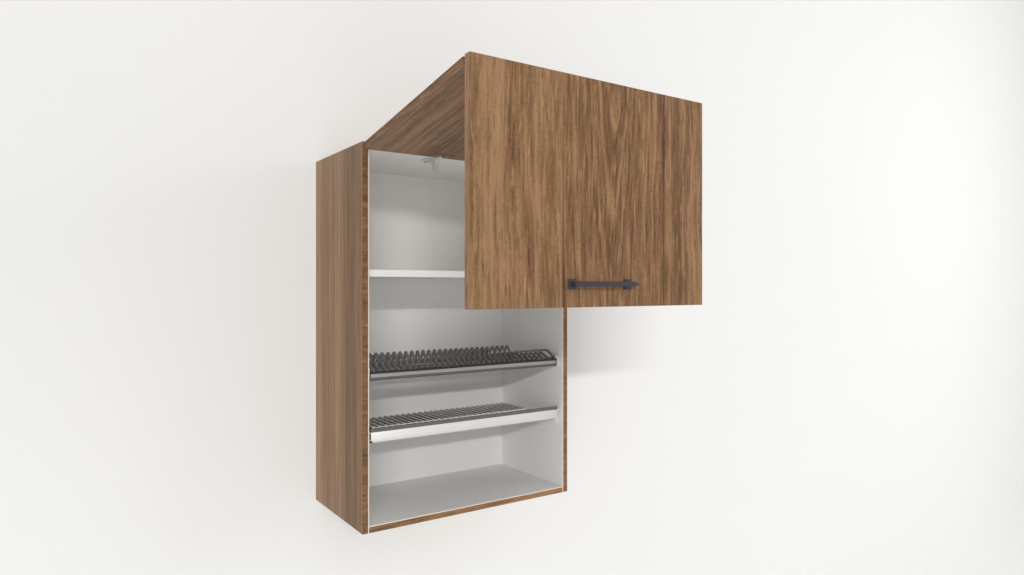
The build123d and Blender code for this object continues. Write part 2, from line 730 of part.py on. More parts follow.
for side, side_name in ((-1, "left"), (1, "right")):
    plate_end = end_bracket(plate_outline, plate_saddles, rack_screw_places[:2], side)
    save(plate_end, f"plate_rack_end_{side_name}")

    cup_end = end_bracket(cup_outline, cup_saddles, rack_screw_places[2:], side)
    with cup_end:
        slab(*sorted((side * (rack_half - ledge_width), side * rack_half)), behind(tray_front_at),
             behind(bracket_back), above(cup_bracket_bottom), above(tray_bottom))
    save(cup_end, f"cup_rack_end_{side_name}")

rack_screws = screws([Plane((side * (rack_half + rack_screw_head + saddle_gap), y, z),
                            z_dir=(-side, 0, 0))
                      for side in (-1, 1) for y, z in rack_screw_places],
                     rack_screw_radius, rack_screw_length - rack_screw_head - saddle_gap,
                     rack_screw_head_radius, rack_screw_head)
save(rack_screws, "rack_screws")

# Plate rack: rounded front rail with a recessed lower band
with BuildPart() as plate_rail:
    rail_front = behind(rack_front)
    rail_rear = rail_front + plate_rail_depth
    rail_low = above(plate_rail_bottom)
    rail_high = rail_low + plate_rail_height
    with BuildSketch(Plane.YZ.offset(-rack_half)) as rail_profile:
        with BuildLine():
            Polyline((rail_front + plate_rail_step, rail_low),
                     (rail_front + plate_rail_step, rail_low + plate_rail_band),
                     (rail_front, rail_low + plate_rail_band), (rail_front, rail_high),
                     (rail_rear, rail_high), (rail_rear, rail_low), close=True)
        make_face()
        fillet(rail_profile.vertices().group_by(Axis.Y)[0].sort_by(Axis.Z)[-1:], plate_rail_round)
    extrude(amount=2 * rack_half)
save(plate_rail, "plate_rack_front_rail")

with BuildPart() as plate_strip:
    strip_front = rail_front + plate_strip_setback
    slab(-rack_half, rack_half, strip_front, strip_front + plate_strip_width,
         rail_high, rail_high + plate_strip_height)
save(plate_strip, "plate_rack_strip")

# Plate rack: wires with a low crown, a tall one that holds the plates, and a hump at the back
first_wire_x = first_wire_inset - half_width
loop_row = width - first_wire_inset - low_frame_end_inset - low_frame_width
loop_places = [first_wire_x + wire_pitch * i for i in range(int(loop_row / wire_pitch) + 1)]
hump_middle = hump_start_at + hump_half
tall_loop = bent_wire((loop_foot, (behind(loop_knee_at), above(loop_knee_up)),
                       (behind(loop_crown_at), above(loop_crown_up)),
                       (behind(loop_dip_at), above(loop_dip_up)),
                       (behind(loop_top_at), above(loop_top_up)),
                       (behind(loop_heel_at), plate_floor),
                       (behind(hump_start_at), plate_floor),
                       (behind(hump_middle), above(hump_up)),
                       (behind(hump_middle + hump_half), plate_floor),
                       (behind(rear_rod_at + wire_tail), plate_floor)), loop_bend)
with BuildPart() as plate_loops:
    with Locations(*[(x, 0, 0) for x in loop_places]):
        add(tall_loop)
save(plate_loops, "plate_rack_tall_loops")

low_places = [loop_places[-1] + wire_pitch * (i + 1) for i in range(int(low_frame_width / wire_pitch) - 1)]
low_loop = bent_wire((loop_foot, low_corner, low_heel,
                      (behind(hump_middle - low_hump_half), plate_floor),
                      (behind(hump_middle), above(low_hump_up)),
                      (behind(hump_middle + low_hump_half), plate_floor),
                      (behind(rear_rod_at + wire_tail), plate_floor)), low_bend)
with BuildPart() as low_loops:
    with Locations(*[(x, 0, 0) for x in low_places]):
        add(low_loop)
save(low_loops, "plate_rack_low_loops")

low_frame_end = half_width - low_frame_end_inset
with BuildPart() as low_frame:
    with BuildLine() as low_route:
        FilletPolyline((low_places[0] - wire_pitch / 2, behind(low_top_at), above(low_top_up)),
                       (low_frame_end, behind(low_top_at), above(low_top_up)),
                       (low_frame_end, *loop_foot),
                       radius=low_frame_bend)
    with BuildSketch(Plane(low_route.line @ 0, z_dir=low_route.line % 0)):
        Circle(wire_radius)
    sweep()
save(low_frame, "plate_rack_low_frame")

rod_half = rack_half + rod_in_bracket
with BuildPart() as plate_rods:
    with Locations((0, behind(plate_front_rod_at), above(plate_front_rod_up)),
                   (0, behind(rear_rod_at), above(plate_rear_rod_up))):
        Cylinder(rod_radius, 2 * rod_half, rotation=(0, 90, 0))
save(plate_rods, "plate_rack_rods")

# Cup rack: bright fascia with a dark strip on its top edge
with BuildPart() as fascia:
    fascia_low = above(fascia_bottom)
    with BuildSketch(Plane.XZ.offset(-behind(rack_front + fascia_thick))):
        with Locations((0, fascia_low + fascia_height / 2)):
            Rectangle(2 * rack_half, fascia_height)
    extrude(amount=fascia_thick)
    fillet(fascia.edges().filter_by(Axis.Y).group_by(Axis.Z)[0], fascia_round)
    slab(-rack_half, rack_half, behind(rack_front), behind(rack_front + fascia_lip),
         fascia_low + fascia_height - fascia_thick, fascia_low + fascia_height)
save(fascia, "cup_rack_fascia")

with BuildPart() as strip:
    slab(-rack_half, rack_half, behind(rack_front + strip_setback),
         behind(rack_front + strip_setback + strip_thick),
         fascia_low + fascia_height, above(cup_rod_up) - wire_radius - weld_gap)
save(strip, "cup_rack_strip")

# Cup rack: raised wires at the front that drop to a low floor behind, and low wires beside them
cup_floor = above(cup_low_rod_up + wire_rest)
cup_wire_start = behind(cup_rod_at + cup_rod_radius + weld_gap)
cup_row = width - first_wire_inset - cup_grid_end_inset
cup_places = [first_wire_x + wire_pitch * i for i in range(int(cup_row / wire_pitch) + 1)]
cup_wire = bent_wire(((cup_wire_start, above(cup_rod_up)), (behind(cup_shelf_back), above(cup_rod_up)),
                      (behind(cup_shelf_back + cup_drop_run), cup_floor),
                      (behind(rear_rod_at + wire_tail), cup_floor)), cup_bend)
with BuildPart() as cup_wires:
    with Locations(*[(x, 0, 0) for x in cup_places]):
        add(cup_wire)
save(cup_wires, "cup_rack_wires")

last_cup_x = cup_places[-1]
low_cup_row = rack_half - last_cup_x
low_cup_places = [last_cup_x + wire_pitch * (i + 1) for i in range(int(low_cup_row / wire_pitch))]
with BuildPart() as low_cup_wires:
    low_start = behind(cup_low_rod_at - wire_tail)
    low_length = behind(rear_rod_at + wire_tail) - low_start
    with Locations(*[(x, low_start + low_length / 2, cup_floor) for x in low_cup_places]):
        Cylinder(wire_radius, low_length, rotation=(90, 0, 0))
save(low_cup_wires, "cup_rack_low_wires")

cup_grid_end = half_width - cup_grid_end_inset
cup_rod_start = first_wire_x - 2 * wire_radius
with BuildPart() as cup_rods:
    with Locations((0, behind(cup_low_rod_at), above(cup_low_rod_up)),
                   (0, behind(rear_rod_at), above(cup_low_rod_up))):
        Cylinder(rod_radius, 2 * rod_half, rotation=(0, 90, 0))
    with Locations(((cup_grid_end + cup_rod_start) / 2, behind(cup_rod_at), above(cup_rod_up))):
        Cylinder(cup_rod_radius, cup_grid_end - cup_rod_start, rotation=(0, 90, 0))
save(cup_rods, "cup_rack_rods")

# Drip tray on the ledges of the cup rack's end brackets
with BuildPart() as drip_tray:
    tray_half = rack_half - tray_side_gap
    slab(-tray_half, tray_half, behind(tray_front_at), behind(tray_back_at), above(tray_bottom),
         above(tray_bottom) + tray_height)
    fillet(drip_tray.edges().filter_by(Axis.Z), tray_corner)
    offset(amount=-tray_wall, openings=drip_tray.faces().sort_by(Axis.Z)[-1])
save(drip_tray, "drip_tray")
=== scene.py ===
from math import cos, pi, radians, sin

import bmesh
import bpy
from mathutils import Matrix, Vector


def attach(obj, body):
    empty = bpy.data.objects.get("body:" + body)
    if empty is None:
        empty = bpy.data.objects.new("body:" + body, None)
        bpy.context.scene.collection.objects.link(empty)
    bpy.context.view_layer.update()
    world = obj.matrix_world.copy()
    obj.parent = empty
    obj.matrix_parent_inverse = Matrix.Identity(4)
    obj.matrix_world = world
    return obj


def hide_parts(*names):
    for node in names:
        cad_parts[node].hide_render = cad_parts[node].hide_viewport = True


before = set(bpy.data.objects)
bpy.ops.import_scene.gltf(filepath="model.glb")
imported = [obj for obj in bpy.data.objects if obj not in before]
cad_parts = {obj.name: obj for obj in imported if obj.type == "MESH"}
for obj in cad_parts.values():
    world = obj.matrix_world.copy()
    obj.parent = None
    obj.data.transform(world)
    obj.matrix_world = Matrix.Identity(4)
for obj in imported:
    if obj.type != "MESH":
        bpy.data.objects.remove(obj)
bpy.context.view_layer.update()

# Camera: level, left of the cabinet and turned to the right, so that uprights stay upright.
# Its place and lens come from the lines of the carcass and the door in the photograph.
turned_right = radians(34.46)
camera_data = bpy.data.cameras.new("camera")
camera_data.sensor_width = 36.0
camera_data.lens = 24.41
camera_data.clip_start = 0.05
camera = bpy.data.objects.new("camera", camera_data)
camera.location = (-0.9166, -1.8225, -0.2787)
camera.rotation_euler = (pi / 2, 0.0, -turned_right)
bpy.context.scene.collection.objects.link(camera)
bpy.context.scene.camera = camera
bpy.context.scene.view_settings.view_transform = "Standard"


# Room: a plain painted wall that the cabinet hangs on, and a pale floor 1.4 m below the cabinet, joined
# by one round sweep. Neither shows from behind, so that the cabinet's back can be seen.
def srgb(code):
    """A written sRGB colour as linear red, green, blue and alpha."""
    parts = [int(code[i:i + 2], 16) / 255 for i in (1, 3, 5)]
    return [p / 12.92 if p <= 0.04045 else ((p + 0.055) / 1.055) ** 2.4 for p in parts] + [1.0]


def add(tree, kind, inputs=(), **settings):
    """Add a node with its settings and inputs, these by name or else in the order of its sockets.

    An input that is a node, or an output of one, is linked. Any other is set as a value."""
    made = tree.nodes.new(kind)
    for key, value in settings.items():
        setattr(made, key, value)
    for socket, value in inputs.items() if isinstance(inputs, dict) else enumerate(inputs):
        if isinstance(value, bpy.types.Node):
            value = next(output for output in value.outputs if not output.is_unavailable)
        if isinstance(value, bpy.types.NodeSocket):
            tree.links.new(value, made.inputs[socket])
        else:
            made.inputs[socket].default_value = value
    return made


def empty_finish(name):
    """A new finish with nothing in it yet, and its node tree."""
    finish = bpy.data.materials.new(name)
    finish.use_nodes = True
    finish.node_tree.nodes.clear()
    return finish, finish.node_tree


wall_half = 7.0
wall_top = 7.0
wall_stand_off = 0.0006
floor_level = -2.25
floor_reach = 7.0
sweep = 0.8
sweep_steps = 12
outline = [(wall_stand_off, wall_top)]
for step in range(sweep_steps + 1):
    turned = pi / 2 * step / sweep_steps
    outline.append((wall_stand_off - sweep * (1 - cos(turned)), floor_level + sweep * (1 - sin(turned))))
outline.append((-floor_reach, floor_level))
row = len(outline)
room_mesh = bpy.data.meshes.new("painted_room")
room_mesh.from_pydata([(x, y, z) for x in (-wall_half, wall_half) for y, z in outline], [],
                      [(i, i + 1, row + i + 1, row + i) for i in range(row - 1)])
room = bpy.data.objects.new("painted_room", room_mesh)
bpy.context.scene.collection.objects.link(room)

# Matt emulsion paint, rolled on: it has no gloss at all, and its tone drifts over some 2 m.
drift_width = 2.0
paint, tree = empty_finish("matt_wall_paint")
place = add(tree, "ShaderNodeTexCoord").outputs["Object"]
drift = add(tree, "ShaderNodeTexNoise", {"Vector": place, "Scale": 1 / drift_width, "Detail": 1.0})
tint = add(tree, "ShaderNodeMix", {"Factor": drift, "A": srgb("#f2f2f1"), "B": srgb("#f6f6f5")},
           data_type="RGBA")
chalk = add(tree, "ShaderNodeBsdfDiffuse", {"Color": tint, "Roughness": 0.9})
clear = add(tree, "ShaderNodeBsdfTransparent")
open_wall = add(tree, "ShaderNodeNewGeometry").outputs["Backfacing"]
# Light also reaches the cabinet's back, which lies against the wall, so that it shows from behind.
close_by = 0.03
ray_length = add(tree, "ShaderNodeLightPath").outputs["Ray Length"]
let_through = add(tree, "ShaderNodeMath", (ray_length, close_by), operation="LESS_THAN")
# Far from the cabinet the paint fades out into the pale surround, so no edge of the room is seen.
fade_from, fade_to = 4.8, 6.8
away = add(tree, "ShaderNodeVectorMath", (place,), operation="LENGTH").outputs["Value"]
faded = add(tree, "ShaderNodeMapRange", (away, fade_from, fade_to))
for also_open in (let_through, faded):
    open_wall = add(tree, "ShaderNodeMath", (open_wall, also_open), operation="MAXIMUM")
seen = add(tree, "ShaderNodeMixShader", (open_wall, chalk, clear))
add(tree, "ShaderNodeOutputMaterial", {"Surface": seen})
room.data.materials.append(paint)

# Light: a wide low window far off at the left front, level, so that shelf and leaf throw level shadows
# inside; weak soft lamps low at the left and high in front, one at the right that metal doesn't mirror,
# and an even surround.
lamp_colour = srgb("#fffefc")[:3]
for name, power, width, height, at, aim, mirrored in (
        ("far_left_window", 450.0, 5.0, 0.3, (-5.6, -10.0, 2.7), (-5.6, -0.2, -0.3), True),
        ("low_left_lamp", 16.0, 1.8, 1.8, (-2.6, -3.9, -0.8), (0.0, -0.2, 0.0), True),
        ("high_front_lamp", 8.0, 2.5, 2.5, (-0.8, -3.6, 2.4), (0.0, 0.0, -0.4), True),
        ("right_soft_lamp", 35.0, 2.0, 2.0, (3.4, -2.7, 0.3), (0.5, 0.0, -0.3), False)):
    lamp_data = bpy.data.lights.new(name, "AREA")
    lamp_data.energy = power
    lamp_data.shape = "RECTANGLE"
    lamp_data.size = width
    lamp_data.size_y = height
    lamp_data.color = lamp_colour
    lamp = bpy.data.objects.new(name, lamp_data)
    lamp.location = at
    lamp.visible_glossy = mirrored
    lamp.rotation_euler = (Vector(aim) - Vector(at)).to_track_quat("-Z", "Y").to_euler()
    bpy.context.scene.collection.objects.link(lamp)

world = bpy.data.worlds.new("pale_surround")
bpy.context.scene.world = world
world.use_nodes = True
tree = world.node_tree
tree.nodes.clear()
ray = add(tree, "ShaderNodeLightPath").outputs
shown = ray["Is Camera Ray"]
for ray_kind in ("Is Glossy Ray", "Is Transmission Ray"):
    shown = add(tree, "ShaderNodeMath", (shown, ray[ray_kind]), operation="MAXIMUM")
soft = add(tree, "ShaderNodeBackground", {"Color": srgb("#fdfdfe"), "Strength": 0.54})
pale = add(tree, "ShaderNodeBackground", {"Color": srgb("#f4f3f1"), "Strength": 1.0})
seen = add(tree, "ShaderNodeMixShader", (shown, soft, pale))
add(tree, "ShaderNodeOutputWorld", {"Surface": seen})

# Carcass boards: particle board faced with walnut print laminate outside and white melamine inside,
# and doweled and bolted at the corners. The front edges carry thin walnut edging, glued on, and
# 2.5 mm of the white lining shows beside it.
axes = {"X": 0, "Y": 1, "Z": 2}
melamine_shades = ("#eeedeb", "#f2f1ef")
melamine_gloss = 0.42
# The real pearl is some 0.5 mm across. It is drawn coarser, because a pixel shows 2 to 3 mm.
pearl_size = 3.85
# Ahead of this depth the lining's front face carries a painted edge highlight.
painted_highlight_front = -0.3188
# Noise lies mostly between these two values.
noise_range = (0.3, 0.7)


def walnut(name, grain, across, shades, seed, force=2.0, stretch=1.0, heart=None, paler=None,
           seams=(), inner=None, core=None, lining=None, tilt=0.0):
    """Walnut print laminate: printed paper under clear resin, pressed against a finely pored plate.

    To the eye that is brown streaks along the grain with a low, soft sheen. They are drawn from
    rings cut at a slant. shades are the dark, the middle and the pale brown, force is their contrast,
    and stretch draws the streaks longer. heart is the place of the rings' centre across and along the
    grain. paler is a drift of tone across the board, from one place to another and from one shift to
    another. seams are dark lines along the grain, each a place and a width. The zones of the face
    painted light, with the print paler and greyer, core, of bare particle board, and lining, of white
    melamine, are each an axis, a comparison and a limit. tilt is how far the board hangs out of level."""
    finish, tree = empty_finish(name)
    place = add(tree, "ShaderNodeTexCoord").outputs["Object"]
    if tilt:
        place = add(tree, "ShaderNodeMapping", {"Vector": place, "Rotation": (tilt, 0.0, 0.0)}).outputs[0]
    xyz = add(tree, "ShaderNodeSeparateXYZ", (place,)).outputs
    along, side = xyz[axes[grain]], xyz[axes[across]]
    third = xyz[3 - axes[grain] - axes[across]]

    # The grain wanders by up to 12 mm to either side, once in some 330 mm.
    wander_reach = 0.012
    turns = (1000 / 250.0, 1000 / 1000.0, 1000 / (333.3 * stretch))
    wander_at = add(tree, "ShaderNodeCombineXYZ", (side, third, along))
    wander_at = add(tree, "ShaderNodeVectorMath", (wander_at, turns, (0.0, seed, 0.0)),
                    operation="MULTIPLY_ADD")
    wander = add(tree, "ShaderNodeTexNoise", {"Vector": wander_at, "Scale": 1.0, "Detail": 2.0})
    wander = add(tree, "ShaderNodeMapRange", (wander, 0.0, 1.0, -wander_reach, wander_reach))
    loose = add(tree, "ShaderNodeMath", (side, wander), operation="ADD")
    ring = loose
    if heart:
        # The rings run parallel 130 mm from the heart. Near it they climb, and so draw pointed arches,
        # whose tips are rounded by some 6 mm.
        parallel_from, full_climb_from, climb, lean, sway = 0.13, 0.02, 0.17, 0.30, 1.5
        tip_radius = 0.0063
        off = add(tree, "ShaderNodeMath", (side, heart[0]), operation="SUBTRACT")
        off = add(tree, "ShaderNodeMath", (wander, sway, off), operation="MULTIPLY_ADD")
        bow = add(tree, "ShaderNodeMath", (off, off, tip_radius ** 2), operation="MULTIPLY_ADD")
        bow = add(tree, "ShaderNodeMath", (bow,), operation="SQRT")
        near = add(tree, "ShaderNodeMapRange", (bow, parallel_from, full_climb_from))
        rise = add(tree, "ShaderNodeMath", (along, heart[1]), operation="SUBTRACT")
        rise = add(tree, "ShaderNodeMath", (rise, climb), operation="MULTIPLY")
        rise = add(tree, "ShaderNodeMath", (rise, near), operation="MULTIPLY")
        ring = add(tree, "ShaderNodeMath", (bow, rise), operation="SUBTRACT")
        ring = add(tree, "ShaderNodeMath", (off, lean, ring), operation="MULTIPLY_ADD")
        ring = add(tree, "ShaderNodeMath", (ring, wander), operation="ADD")

    def streaks(line_up, width, length, detail, shift):
        """Noise drawn out along the grain, with its width and length in millimetres."""
        turns = (1000 / width, 1000 / width, 1000 / (length * stretch))
        at = add(tree, "ShaderNodeCombineXYZ", (line_up, third, along))
        at = add(tree, "ShaderNodeVectorMath", (at, turns, (0.0, seed + shift, 0.0)),
                 operation="MULTIPLY_ADD")
        return add(tree, "ShaderNodeTexNoise", {"Vector": at, "Scale": 1.0, "Detail": detail,
                                                "Roughness": 0.6})

    # On such a cut walnut's rings show as bands and lines 10 to 30 mm wide. Its fibres and pores are a
    # third of a millimetre wide. They, their flecks and the mottle are drawn 5 to 7 mm wide, to show.
    bands = streaks(ring, 26.0, 1200.0, 1.0, 1.0)
    lines = streaks(ring, 11.0, 420.0, 3.0, 7.0)
    fibres = streaks(loose, 6.5, 110.0, 3.0, 13.0)
    flecks = streaks(loose, 5.5, 50.0, 2.0, 29.0)
    blush = streaks(loose, 14.0, 110.0, 1.0, 41.0)
    mottle_size, mottle_share = 6.667, 0.12
    mottle = add(tree, "ShaderNodeTexNoise", {"Vector": place, "Scale": 1000 / mottle_size, "Detail": 2.0})
    tone = -0.5 * mottle_share
    for pattern, share in ((bands, 0.28), (lines, 0.34), (fibres, 0.38), (mottle, mottle_share)):
        tone = add(tree, "ShaderNodeMath", (pattern, share, tone), operation="MULTIPLY_ADD")
    if paler:
        drift = add(tree, "ShaderNodeMapRange", (side, *paler))
        tone = add(tree, "ShaderNodeMath", (tone, drift), operation="ADD")
    half_range = 0.20 / force
    tone = add(tree, "ShaderNodeMapRange", (tone, 0.5 - half_range, 0.5 + half_range))
    wood = srgb(shades[0])
    for pattern, low, high, share, colour in (
            (tone, 0.0, 0.5, 1.0, shades[1]), (tone, 0.5, 1.0, 1.0, shades[2]),
            (flecks, 0.57, 0.72, 0.26 * force, "#b28e6b"), (flecks, 0.40, 0.29, 0.30 * force, "#402917"),
            (blush, 0.45, 0.70, 0.35, "#94694f"), (blush, 0.55, 0.30, 0.35, "#836543")):
        share = add(tree, "ShaderNodeMapRange", (pattern, low, high, 0.0, share))
        wood = add(tree, "ShaderNodeMix", {"Factor": share, "A": wood, "B": srgb(colour)}, data_type="RGBA")
    # A seam follows the grain a little, and is weaker where a band is pale.
    seam_sway = 0.3
    for seam_at, seam_width in seams:
        aside = add(tree, "ShaderNodeMath", (side, seam_at), operation="SUBTRACT")
        aside = add(tree, "ShaderNodeMath", (wander, seam_sway, aside), operation="MULTIPLY_ADD")
        aside = add(tree, "ShaderNodeMath", (aside,), operation="ABSOLUTE")
        middle = add(tree, "ShaderNodeMapRange", (aside, seam_width, 0.0))
        broken = add(tree, "ShaderNodeMapRange", (bands, 0.35, 0.6, 0.9, 0.3))
        dark = add(tree, "ShaderNodeMath", (middle, broken), operation="MULTIPLY")
        wood = add(tree, "ShaderNodeMix", {"Factor": dark, "A": wood, "B": srgb("#3f2b1b")}, data_type="RGBA")

    gloss = add(tree, "ShaderNodeMapRange", (fibres, *noise_range, 0.46, 0.56))
    for what, zone in (("inner", inner), ("core", core), ("lining", lining)):
        if not zone:
            continue
        axis, beyond, limit = zone
        inside = add(tree, "ShaderNodeMath", (xyz[axes[axis]], limit), operation=beyond)
        if what == "inner":
            # painted light: the same print, paler and greyer, on the upper leaf's shaded underside
            greyed = 0.3
            other = add(tree, "ShaderNodeHueSaturation", {"Saturation": 0.84, "Value": 1.19, "Color": wood})
            other = add(tree, "ShaderNodeMix", {"Factor": greyed, "A": other, "B": srgb("#8e7054")},
                        data_type="RGBA")
        elif what == "core":
            # bare particle board: pressed wood chips 2 to 3 mm across, each of its own tone
            chip_size = 2.4
            chips = add(tree, "ShaderNodeTexVoronoi", {"Vector": place, "Scale": 1000 / chip_size})
            chips = add(tree, "ShaderNodeSeparateColor", (chips.outputs["Color"],)).outputs[0]
            other = add(tree, "ShaderNodeMix", {"Factor": chips, "A": srgb("#a98c66"), "B": srgb("#cdb48e")},
                        data_type="RGBA")
        else:
            # white melamine, and a cream line painted along the lining's front face as an edge highlight
            pearl = add(tree, "ShaderNodeTexNoise", {"Vector": place, "Scale": 1000 / pearl_size})
            other = add(tree, "ShaderNodeMix", {"Factor": pearl, "A": srgb(melamine_shades[0]),
                                                "B": srgb(melamine_shades[1])}, data_type="RGBA")
            edge_highlight = add(tree, "ShaderNodeMath", (xyz[1], painted_highlight_front), operation="LESS_THAN")
            other = add(tree, "ShaderNodeMix", {"Factor": edge_highlight, "A": other, "B": srgb("#e6d8ca")},
                        data_type="RGBA")
            gloss = add(tree, "ShaderNodeMix", {"Factor": inside, "A": gloss, "B": melamine_gloss})
        wood = add(tree, "ShaderNodeMix", {"Factor": inside, "A": wood, "B": other}, data_type="RGBA")
    # The pores are pressed in by a tenth of a millimetre.
    pores = add(tree, "ShaderNodeBump", {"Height": fibres, "Strength": 0.25, "Distance": 0.0004})
    shader = add(tree, "ShaderNodeBsdfPrincipled", {"Base Color": wood, "Roughness": gloss, "Normal": pores,
                                                    "Specular IOR Level": 0.25})
    add(tree, "ShaderNodeOutputMaterial", {"Surface": shader})
    return finish


def dress(node, finish):
    """Give a CAD node its finish."""
    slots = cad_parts[node].data.materials
    slots.clear()
    slots.append(finish)


# The boards' walnut shades are paler and greyer than the leaves': painted cooler light on the side panels.
cool_lit_board_shades = ("#665039", "#907359", "#b39473")
side_edging_shades = ("#523b27", "#76573c", "#947351")
end_edging_shades = ("#4e351f", "#7a5b3d", "#a07c54")
bare_back_edge = ("Y", "GREATER_THAN", -0.0002)
for hand, sign, lining in (("left", -1, ("X", "GREATER_THAN", -0.28655)),
                           ("right", 1, ("X", "LESS_THAN", 0.28655))):
    dress(hand + "_side_panel", walnut(f"walnut_print_laminate_{hand}_side", "Z", "Y", cool_lit_board_shades,
                                       seed=3.0 + sign, force=1.4, stretch=2.2,
                                       paler=(-0.32, 0.0, -0.110, 0.070),
                                       lining=lining, core=bare_back_edge))
    dress(hand + "_edge_band", walnut("walnut_edging_" + hand, "X", "Z", side_edging_shades,
                                      seed=8.0 + sign, force=1.5, stretch=0.25))
for end, seed, lining in (("top", 21.0, ("Z", "LESS_THAN", 0.04245)),
                          ("bottom", 25.0, ("Z", "GREATER_THAN", -0.83045))):
    dress(end + "_panel", walnut("walnut_print_laminate_" + end, "X", "Y", cool_lit_board_shades, seed=seed,
                                 lining=lining, core=bare_back_edge))
    dress(end + "_edge_band", walnut(f"walnut_{end}_edge_band", "X", "Z", end_edging_shades, seed=31.0))


# Back panel, fixing rail and shelf: boards faced all over with white melamine. The back slides in
# grooves, the rail is screwed behind it, and the shelf lies on four pins.
def clouded(name, speck, shades, roughness, relief=0.0, metallic=0.0, detail=2.0, streak=None,
            foot=None):
    """A finish clouded between two shades, in specks of a size in millimetres.

    roughness is one value, or two that follow the clouds. relief is how strongly they stand out of
    the surface, up to a fifth of a millimetre. streak draws them out to a length along X, and foot is
    a height with the colour of what lies below it."""
    finish, tree = empty_finish(name)
    place = add(tree, "ShaderNodeTexCoord").outputs["Object"]
    turns = (1000 / (streak or speck), 1000 / speck, 1000 / speck)
    clouds_at = add(tree, "ShaderNodeMapping", {"Vector": place, "Scale": turns})
    clouds = add(tree, "ShaderNodeTexNoise", {"Vector": clouds_at, "Scale": 1.0, "Detail": detail})
    colour = add(tree, "ShaderNodeMix", {"Factor": clouds, "A": srgb(shades[0]), "B": srgb(shades[1])},
                 data_type="RGBA")
    # foot paints a darker colour below a height; on the rail that colour is painted shade.
    if foot:
        height = add(tree, "ShaderNodeSeparateXYZ", (place,)).outputs["Z"]
        below = add(tree, "ShaderNodeMath", (height, foot[0]), operation="LESS_THAN")
        colour = add(tree, "ShaderNodeMix", {"Factor": below, "A": colour, "B": srgb(foot[1])},
                     data_type="RGBA")
    looks = {"Base Color": colour, "Roughness": roughness, "Metallic": metallic}
    if isinstance(roughness, tuple):
        looks["Roughness"] = add(tree, "ShaderNodeMapRange", (clouds, *noise_range, *roughness))
    if relief:
        looks["Normal"] = add(tree, "ShaderNodeBump", {"Height": clouds, "Strength": relief,
                                                       "Distance": 0.0002})
    shader = add(tree, "ShaderNodeBsdfPrincipled", looks)
    add(tree, "ShaderNodeOutputMaterial", {"Surface": shader})
    return finish


# White melamine, pressed against a pearled plate: an even, low gloss on a faintly pearled skin.
melamine = clouded("white_melamine_facing", speck=pearl_size, shades=melamine_shades,
                   roughness=melamine_gloss, relief=0.12)
for name in ("back_panel", "fixing_rail", "adjustable_shelf", "shelf_edge_band"):
    dress(name, melamine)

# Carcass fittings: turned beech dowels, and bolts, cams, shelf pins and hinge pins of turned steel.
# They sit in bored holes; only the cams' faces and the shelf pins can be seen.
# Bright zinc plating from a bath: a cold, slightly cloudy metal shine. The real clouds are finer.
zinc = clouded("bright_zinc_plating", speck=5.55, shades=("#a9adb2", "#c3c6c9"),
               roughness=(0.24, 0.38), metallic=1.0, detail=3.0)
for name in ("cam_bolts", "cam_locks", "shelf_pins", "top_hinge_pins", "fold_hinge_pins"):
    dress(name, zinc)

# Turned beech, raw: matt, with short brown flecks 1 mm wide and some 30 mm long.
beech = clouded("turned_beech", speck=1.1, shades=("#b08a5c", "#d0ad7e"), roughness=0.6, streak=33.0)
dress("corner_dowels", beech)

# Door: two equal leaves of the same board, walnut laminate on both faces and all four edges, hung one
# under the other on hinges. The lower leaf shows pointed arches that open upwards and two dark seams.
leaf_shades = ("#563a24", "#7b5a3b", "#9d7a58")
leaf_force = 2.2
leaf_tilt = radians(9.5)
# The lower leaf's print is painted paler towards its left edge: painted light that falls off to the right.
dress("lower_leaf", walnut("walnut_print_laminate_lower_leaf", "Z", "X", leaf_shades, seed=40.0,
                           force=leaf_force, heart=(0.040, -0.40), paler=(-0.30, -0.04, 0.075, 0.0),
                           seams=((-0.093, 0.005), (0.178, 0.004))))
# Its underside is painted paler and greyer than its outside: painted light on the shaded face.
dress("upper_leaf", walnut("walnut_print_laminate_upper_leaf", "Y", "X", leaf_shades, seed=47.0,
                           force=leaf_force, inner=("Z", "LESS_THAN", -0.0195), tilt=leaf_tilt))


# Hinges: grey moulded housings over the springs, screwed up under the top panel, and cups, arms and
# wings of pressed steel in brown lacquer, let into the leaves. Every edge is rounded by the mould or die.
def finished(source, name):
    """Turn an object with live modifiers into a plain closed mesh object, its faces outward."""
    evaluated = source.evaluated_get(bpy.context.evaluated_depsgraph_get())
    mesh = bpy.data.meshes.new_from_object(evaluated)
    shape = bmesh.new()
    shape.from_mesh(mesh)
    bmesh.ops.recalc_face_normals(shape, faces=shape.faces)
    shape.to_mesh(mesh)
    shape.free()
    mesh.set_sharp_from_angle(angle=radians(38))
    bpy.data.objects.remove(source)
    piece = bpy.data.objects.new(name, mesh)
    bpy.context.scene.collection.objects.link(piece)
    return piece


# Points of a CAD mesh nearer than this many metres are one point.
same_place = 1e-6


def eased(node, body, round_by, finish):
    """Stand in for a CAD node by its own shape with its edges rounded, by so many metres."""
    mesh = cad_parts[node].data.copy()
    shape = bmesh.new()
    shape.from_mesh(mesh)
    bmesh.ops.remove_doubles(shape, verts=shape.verts, dist=same_place)
    bmesh.ops.dissolve_limit(shape, angle_limit=radians(0.5), verts=shape.verts, edges=shape.edges)
    shape.to_mesh(mesh)
    shape.free()
    mesh.shade_smooth()
    source = bpy.data.objects.new("edge_work", mesh)
    bpy.context.scene.collection.objects.link(source)
    bevel = source.modifiers.new("edges", "BEVEL")
    bevel.width = round_by
    bevel.segments = 2
    bevel.limit_method = "ANGLE"
    bevel.angle_limit = radians(32)
    piece = finished(source, "eased_" + node)
    piece.data.materials.clear()
    piece.data.materials.append(finish)
    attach(piece, body)
    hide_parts(node)


# Grey polyamide, moulded against a finely eroded steel: dull and even. The real grain is 0.2 mm.
moulded_grain = 1.1
grey_plastic = clouded("pale_grey_moulded_polyamide", speck=moulded_grain,
                       shades=("#cccac7", "#d2d0cd"), roughness=0.45, relief=0.15)
